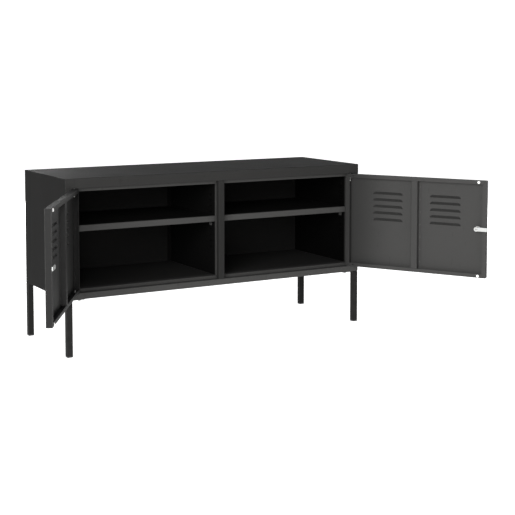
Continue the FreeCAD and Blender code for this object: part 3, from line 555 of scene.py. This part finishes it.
def cross_screw_recipe(material):
    """Domed head with a cross recess."""
    tree = Recipe("cross_screw", **{"Head Radius": BACK_SCREW_HEAD_RADIUS,
                                    "Head Height": 1.8 * MM, "Recess Reach": 2.3 * MM,
                                    "Recess Width": 0.75 * MM, "Recess Depth": 1.0 * MM,
                                    "Seed": SCREW_SEED})
    radius, height = tree.size("Head Radius"), tree.size("Head Height")
    head = tree.drum(radius, height, sides=28, fans=5)
    x, y, z = tree.place()
    far = (x * x + y * y) / (radius * radius)
    drop = 0.62 * height * far * far * z.above(0.5 * height)
    domed = tree.shifted(head, tree.vector(0.0, 0.0, -1.0 * drop))
    reach, width = tree.size("Recess Reach") * 2.0, tree.size("Recess Width")
    blades = tree.joined(tree.box(reach, width, height), tree.box(width, reach, height))
    cutter = tree.lifted(blades, height * 1.5 - tree.size("Recess Depth"))
    recessed = tree.node("GeometryNodeMeshBoolean", {"operation": "DIFFERENCE"},
                         {"Mesh 1": domed, "Mesh 2": cutter})
    return tree.finish(tree.stood_on_guide(recessed, tree.size("Seed")), material)


def socket_screw_recipe(material):
    """Low button head with a hexagon socket, standing on a toothed flange."""
    tree = Recipe("socket_screw", **{"Head Radius": LEG_SCREW_HEAD_RADIUS,
                                     "Head Height": 2.6 * MM, "Socket Radius": 1.75 * MM,
                                     "Teeth": 18, "Seed": SCREW_SEED})
    radius, height = tree.size("Head Radius"), tree.size("Head Height")
    head = tree.drum(radius * 0.86, height, sides=28, fans=4)
    x, y, z = tree.place()
    far = (x * x + y * y) / (radius * radius)
    drop = 0.45 * height * far * far * z.above(0.5 * height)
    domed = tree.shifted(head, tree.vector(0.0, 0.0, -1.0 * drop))
    hollow = tree.drum(tree.size("Socket Radius"), height, sides=6)
    recessed = tree.node("GeometryNodeMeshBoolean", {"operation": "DIFFERENCE"},
                         {"Mesh 1": domed, "Mesh 2": tree.lifted(hollow, height * 0.45)})
    flange = tree.drum(radius, 0.7 * MM, sides=72)
    angle = tree.maths("ARCTAN2", y, x)
    bite = (angle * tree.size("Teeth")).sine() * 0.02
    toothed = tree.shifted(flange, tree.vector(x * bite, y * bite, 0.0))
    screw = tree.joined(recessed, toothed)
    return tree.finish(tree.stood_on_guide(screw, tree.size("Seed")), material)


def spring_recipe(material):
    """Compression spring whose end turns lie closed."""
    tree = Recipe("hinge_spring", **{"Turns": SPRING_TURNS, "Height": 12.0 * MM,
                                     "Coil Radius": SPRING_COIL_RADIUS,
                                     "Wire Radius": SPRING_WIRE_RADIUS})
    height, wire = tree.size("Height"), tree.size("Wire Radius")
    coil = tree.node("GeometryNodeCurveSpiral", inputs={
        "Resolution": 20, "Rotations": tree.size("Turns"), "Start Radius": tree.size("Coil Radius"),
        "End Radius": tree.size("Coil Radius"), "Height": height})
    x, y, z = tree.place()
    along = z / height
    eased = along - 0.11 * (along * 2.0 * math.pi).sine()
    wound = tree.shifted(coil, tree.vector(0.0, 0.0, (eased - along) * height))
    section = tree.node("GeometryNodeCurvePrimitiveCircle",
                        inputs={"Resolution": 8, "Radius": wire})
    drawn = tree.node("GeometryNodeCurveToMesh", inputs={"Curve": wound, "Profile Curve": section,
                                                         "Fill Caps": True})
    return tree.finish(tree.stood_on_guide(drawn), material, smooth_below=60.0)


def spot_weld_recipe(material):
    """Round print of a spot-welding tip: a shallow dish with a soft raised rim."""
    tree = Recipe("spot_weld", **{"Radius": WELD_RADIUS, "Height": 0.22 * MM})
    radius, height = tree.size("Radius"), tree.size("Height")
    disc = tree.drum(radius, height, sides=20, fans=6)
    x, y, z = tree.place()
    far = (x * x + y * y).root() / radius
    rim = (1.0 - abs(far - 0.72) * 3.4).larger(0.0)
    level = height * (0.18 + 0.82 * rim)
    dished = tree.shifted(disc, tree.vector(0.0, 0.0, (level - height) * z.above(0.5 * height)))
    return tree.finish(tree.stood_on_guide(dished), material)


def weld_bead_recipe(material):
    """Rippled bead of weld that follows the guide's edges."""
    tree = Recipe("weld_bead", **{"Bead Radius": BEAD_RADIUS, "Ripple": 1.6 * MM})
    path = tree.node("GeometryNodeMeshToCurve", inputs={"Mesh": tree.guide})
    fine = tree.node("GeometryNodeResampleCurve", {"mode": "LENGTH"},
                     {"Curve": path, "Length": 0.4 * MM})
    along = tree.node("GeometryNodeSplineParameter", output="Length")
    ripple = 1.0 + 0.12 * (along * (2.0 * math.pi) / tree.size("Ripple")).sine()
    section = tree.node("GeometryNodeCurvePrimitiveCircle",
                        inputs={"Resolution": 10, "Radius": tree.size("Bead Radius")})
    laid = tree.node("GeometryNodeSetCurveRadius", inputs={"Curve": fine, "Radius": ripple})
    bead = tree.node("GeometryNodeCurveToMesh", inputs={"Curve": laid, "Profile Curve": section,
                                                        "Scale": ripple})
    return tree.finish(bead, material, smooth_below=60.0)


# ---- pieces ----------------------------------------------------------------------------------
def guide_mesh(name, points, outwards=None, edges=()):
    """Mesh of bare points, each with the direction in which its piece stands."""
    mesh = bpy.data.meshes.new(name)
    mesh.from_pydata([tuple(point) for point in points], list(edges), [])
    if outwards:
        outward = mesh.attributes.new("outward", "FLOAT_VECTOR", "POINT")
        for entry, direction in zip(outward.data, outwards):
            entry.vector = direction
    return mesh


def build(name, tree, guide, body, sizes=None, replaces=()):
    """Run a recipe on a guide, keep the result as a plain mesh, and give it to a body."""
    maker = bpy.data.objects.new(name + "_guide", guide)
    bpy.context.scene.collection.objects.link(maker)
    modifier = maker.modifiers.new("recipe", "NODES")
    modifier.node_group = tree
    for socket in tree.interface.items_tree:
        if socket.in_out == "INPUT" and socket.name in (sizes or {}):
            modifier[socket.identifier] = sizes[socket.name]
    evaluated = maker.evaluated_get(bpy.context.evaluated_depsgraph_get())
    mesh = bpy.data.meshes.new_from_object(evaluated)
    bpy.data.objects.remove(maker)
    piece = bpy.data.objects.new(name, mesh)
    bpy.context.scene.collection.objects.link(piece)
    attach(piece, body)
    if replaces:
        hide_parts(*replaces)
    return piece


def door_turn(side):
    """The turn that opens a shut door."""
    return Matrix.Rotation(math.radians(DOOR_OPEN_ANGLE) * SIDES[side], 3, "Z")


def on_open_door(side, along, depth, height):
    """A point of an open door: along from its hinge edge, depth from its outer face."""
    pivot = pivot_point(side)
    inward = -SIDES[side]
    shut = Vector((inward * (along - PIVOT_FROM_EDGE), depth - PIVOT_FROM_FACE, height))
    return door_turn(side) @ shut + pivot


def inner_face_direction(side):
    """Which way a door's inner face looks when the door is open."""
    return door_turn(side) @ Vector((0.0, 1.0, 0.0))


def make_back_screws(recipe):
    """Screws round the back panel: two rows of five, and three down each side."""
    low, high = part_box("back_screws")
    head = BACK_SCREW_HEAD_RADIUS
    reach = CASE_HIGH.x - BACK_ROW_MARGIN
    rows = ((CASE_HIGH.z - REAR_FLANGE / 2, CASE_HIGH.y), (low.z + head, CASE_HIGH.y - SHEET))
    points = [Vector((reach * step / 2, seat, z)) for z, seat in rows for step in range(-2, 3)]
    for x in (low.x + head, high.x - head):
        points += [Vector((x, CASE_HIGH.y, z)) for z in BACK_SIDE_HEIGHTS]
    guide = guide_mesh("back_screw_places", points, [(0.0, 1.0, 0.0)] * len(points))
    build("back_cross_screws", recipe, guide, "cabinet", replaces=["back_screws"])


def leg_corners():
    """Each leg's outer corner, with the signs that point from it into the case."""
    for x in (CASE_LOW.x, CASE_HIGH.x):
        for y in (CASE_LOW.y, CASE_HIGH.y):
            yield x, y, -math.copysign(1, x), -math.copysign(1, y)


def make_leg_screws(recipe):
    """Three screws through each leg's plate, seen from below."""
    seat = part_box("front_left_leg")[1].z - LEG_PLATE
    near, far = LEG_SCREW_NEAR, LEG_SCREW_FAR
    points = []
    for x, y, to_x, to_y in leg_corners():
        for across, back in ((far, near), (near, far), (far, far)):
            points.append(Vector((x + to_x * across, y + to_y * back, seat)))
    guide = guide_mesh("leg_screw_places", points, [(0.0, 0.0, -1.0)] * len(points))
    build("leg_socket_screws", recipe, guide, "cabinet", replaces=["leg_screws"])


def make_leg_beads(recipe):
    """Weld bead on the two inner faces of each leg, where the tube meets its plate."""
    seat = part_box("front_left_leg")[1].z - LEG_PLATE - BEAD_RADIUS * BEAD_SUNK
    points, edges = [], []
    for x, y, to_x, to_y in leg_corners():
        start = len(points)
        inner_x, inner_y = x + to_x * LEG_WIDTH, y + to_y * LEG_WIDTH
        points += [Vector((x + to_x * BEAD_START, inner_y, seat)),
                   Vector((inner_x, inner_y, seat)),
                   Vector((inner_x, y + to_y * BEAD_START, seat))]
        edges += [(start, start + 1), (start + 1, start + 2)]
    guide = guide_mesh("leg_bead_paths", points, edges=edges)
    build("leg_weld_beads", recipe, guide, "cabinet")


def make_door_welds(side, recipe):
    """Two columns of spot welds on the feet of a door's stiffener."""
    low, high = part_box(side + "_door_stiffener")
    reach = (STIFFENER_WIDTH + STIFFENER_FOOT) / 2
    inward = inner_face_direction(side)
    points = []
    for along in (DOOR_WIDTH / 2 - reach, DOOR_WIDTH / 2 + reach):
        for step in range(DOOR_WELD_COUNT):
            height = low.z + (high.z - low.z) * (step + 0.5) / DOOR_WELD_COUNT
            points.append(on_open_door(side, along, 2 * SHEET, height))
    guide = guide_mesh(side + "_weld_places", points, [inward] * len(points))
    build(side + "_door_spot_welds", recipe, guide, side + "_door")


def make_hinge_spring(side, recipe):
    """Coil spring round the upper hinge pin."""
    node = side + "_hinge_spring"
    low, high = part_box(node)
    guide = guide_mesh(node + "_place", [Vector(((low.x + high.x) / 2, (low.y + high.y) / 2,
                                                 low.z + SPRING_WIRE_RADIUS))], [(0.0, 0.0, 1.0)])
    build(side + "_coil_spring", recipe, guide, side + "_door",
          sizes={"Height": high.z - low.z - 2 * SPRING_WIRE_RADIUS}, replaces=[node])


# ---- finishes on the carried-over pieces -----------------------------------------------------
def paint(material, *nodes):
    for node in nodes:
        mesh = frame["nodes"][node].data
        mesh.materials.clear()
        mesh.materials.append(material)


def paired(*names):
    return [side + "_" + name for name in names for side in SIDES]


def paint_everything():
    """Give every carried-over piece its finish; hand back the front's coat and the steel."""
    # Each coat below is a copy of one anthracite coat, made lighter or darker per surface as painted
    # light and shade.
    front = powder_coat("coat_on_front", FRONT_SHADE)
    linings = {}
    for piece, (node, reach, deep) in LINING_PAINTED_SHADE.items():
        tone = lining_painted_shade(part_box(node)[0].y, reach, deep)
        linings[piece] = powder_coat("coat_on_" + piece, FRONT_SHADE, painted_shade_of=tone, gloss=DULL_GLOSS)
    legs = powder_coat("coat_on_legs", LEG_SHADE, gloss=DULL_GLOSS)
    zinc, chrome, steel = zinc_finish(), chrome_finish(), steel_finish()
    names = list(frame["nodes"])
    paint(powder_coat("coat_on_top", TOP_SHADE, painted_shade_of=top_painted_shade, gloss=DULL_GLOSS), "top_panel")
    paint(powder_coat("coat_on_sides", SIDE_SHADE, painted_shade_of=side_painted_shade, gloss=DULL_GLOSS),
          *paired("side_panel"))
    paint(powder_coat("coat_on_post", POST_SHADE, gloss=DULL_GLOSS), "centre_post")
    paint(front, *paired("shelf_clips"))
    paint(linings["floor"], "bottom_panel")
    paint(linings["back"], "back_panel", "top_stop_rail")
    paint(linings["liner"], *paired("side_liner"))
    paint(linings["shelf"], *paired("shelf"))
    paint(linings["divider"], *[name for name in names if name.startswith("divider")])
    paint(legs, *[name for name in names if name.endswith(("_leg", "_leg_plate"))])
    paint(plastic_finish(), *[name for name in names if name.endswith("foot_cap")])
    paint(nylon_finish(), *paired("door_bumpers"))
    paint(zinc, *paired("upper_hinge_pin", "latch_tongue", "latch_nut"))
    paint(steel, "leg_nuts", *paired("lower_hinge_pin", "latch_ring_nut"))
    paint(chrome, *paired("latch_plug", "latch_barrel"))
    for side in SIDES:
        door = powder_coat("coat_on_%s_door" % side, DOOR_SHADE, closed_door_place(side),
                           *door_box(side), painted_shade_of=door_painted_shade(side))
        paint(door, side + "_door_panel", side + "_door_stiffener", side + "_hinge_bracket")
    return front, steel


# ---- studio pieces ---------------------------------------------------------------------------
def make_floor():
    """Pale paper floor that turns up into a low wall all round, well past the camera."""
    finish = Finish("studio_paper")
    fibres = finish.noise(0.4, 3.0)
    colour = finish.mixed(fibres, grey(0.60), grey(0.64))
    paper = finish.surface(Base_Color=colour, Roughness=0.9, Specular_IOR_Level=0.1,
                           Emission_Color=grey(1.0), Emission_Strength=PAPER_GLOW)
    radius, wall = FLOOR_RADIUS, FLOOR_WALL
    turns, steps = FLOOR_TURNS, FLOOR_STEPS
    profile = [(0.0, 0.0), (radius - wall, 0.0)]
    for step in range(1, steps + 1):
        angle = math.pi / 2 * step / steps
        profile.append((radius - wall + wall * math.sin(angle), wall * (1 - math.cos(angle))))
    points = [(0.0, 0.0, 0.0)]
    for reach, height in profile[1:]:
        for turn in range(turns):
            angle = 2 * math.pi * turn / turns
            points.append((reach * math.cos(angle), reach * math.sin(angle), height))
    faces = [(0, 1 + turn, 1 + (turn + 1) % turns) for turn in range(turns)]
    for ring in range(len(profile) - 2):
        start = 1 + ring * turns
        for turn in range(turns):
            after = (turn + 1) % turns
            faces.append((start + turn, start + turns + turn, start + turns + after, start + after))
    mesh = bpy.data.meshes.new("studio_floor")
    mesh.from_pydata(points, [], faces)
    mesh.materials.append(paper)
    mesh.shade_smooth()
    floor = bpy.data.objects.new("studio_floor", mesh)
    bpy.context.scene.collection.objects.link(floor)


def add_softbox(name, location, target, size, power):
    light = bpy.data.lights.new(name, "AREA")
    light.shape = "RECTANGLE"
    light.size, light.size_y = size
    light.energy = power
    lamp = bpy.data.objects.new(name, light)
    lamp.location = location
    lamp.rotation_mode = "QUATERNION"
    lamp.rotation_quaternion = (Vector(target) - Vector(location)).to_track_quat("-Z", "Y")
    bpy.context.scene.collection.objects.link(lamp)


def light_studio():
    """A broad key from the front left, dimmer fills on the right and behind, an overhead."""
    world = bpy.data.worlds.new("studio_room")
    world.use_nodes = True
    background = world.node_tree.nodes["Background"]
    background.inputs["Color"].default_value = grey(1.0)
    background.inputs["Strength"].default_value = ROOM_LIGHT
    bpy.context.scene.world = world
    for name, (location, target, size, power) in SOFTBOXES.items():
        add_softbox(name, location, target, size, power)


def set_camera():
    """Low three-quarter view from the front left, with the lens shifted down."""
    data = bpy.data.cameras.new("camera")
    data.lens = CAMERA_LENS
    data.sensor_width = 36.0
    data.shift_y = CAMERA_SHIFT
    camera = bpy.data.objects.new("camera", data)
    camera.location = CAMERA_PLACE
    camera.rotation_euler = (math.radians(90.0 - CAMERA_PITCH), 0.0, math.radians(CAMERA_YAW))
    bpy.context.scene.collection.objects.link(camera)
    bpy.context.scene.camera = camera
    bpy.context.scene.view_settings.view_transform = "Standard"


# ---- the build -------------------------------------------------------------------------------
coat, steel = paint_everything()
make_back_screws(cross_screw_recipe(steel))
make_leg_screws(socket_screw_recipe(steel))
make_leg_beads(weld_bead_recipe(coat))
weld_recipe = spot_weld_recipe(coat)
spring = spring_recipe(steel)
for side in SIDES:
    make_door_welds(side, weld_recipe)
    make_hinge_spring(side, spring)
make_floor()
light_studio()
set_camera()
